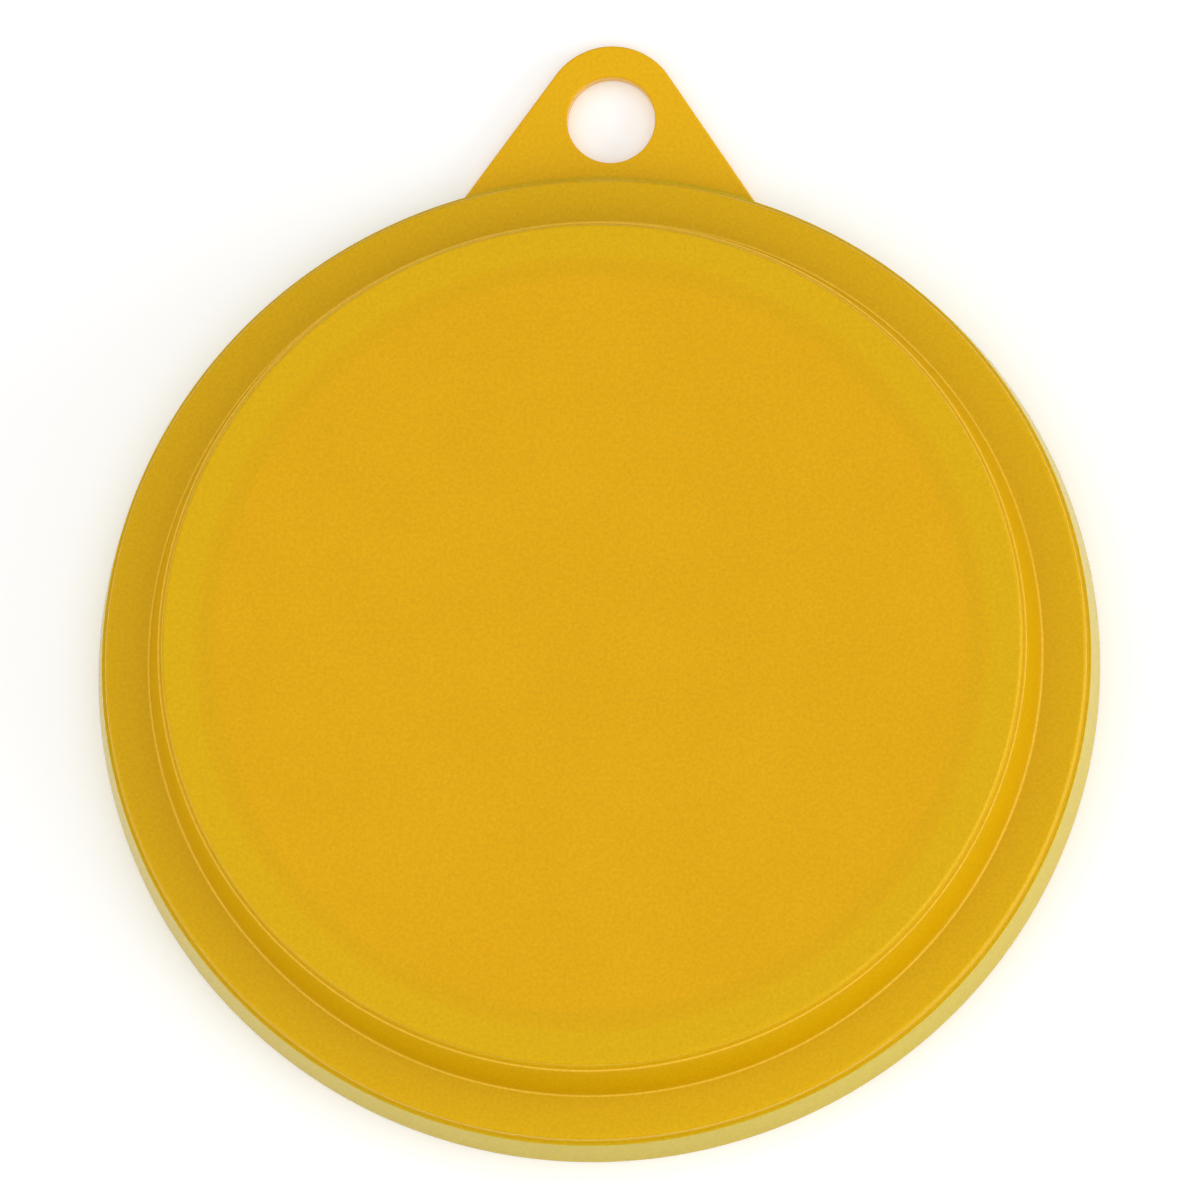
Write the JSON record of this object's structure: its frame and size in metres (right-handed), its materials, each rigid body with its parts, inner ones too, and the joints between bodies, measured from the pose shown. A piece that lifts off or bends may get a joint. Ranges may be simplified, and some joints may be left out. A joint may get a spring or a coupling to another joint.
{
  "type": "can lid",
  "caption": "Reusable press-on cover for opened food cans: round stepped plastic shell with a raised panel, concentric seats for several can widths and a hang tab with a hole.",
  "frame": {"origin": "on the lid's axis, in the plane of its rim, which it rests on with the open side down", "axes": "+Z along the lid's axis towards the raised panel, +Y towards the hang tab"},
  "size_m": [0.0906, 0.1031, 0.0114],
  "materials": {
    "lid": "satin"
  },
  "bodies": {
    "root": {"lid": "lid"}
  },
  "joints": []
}
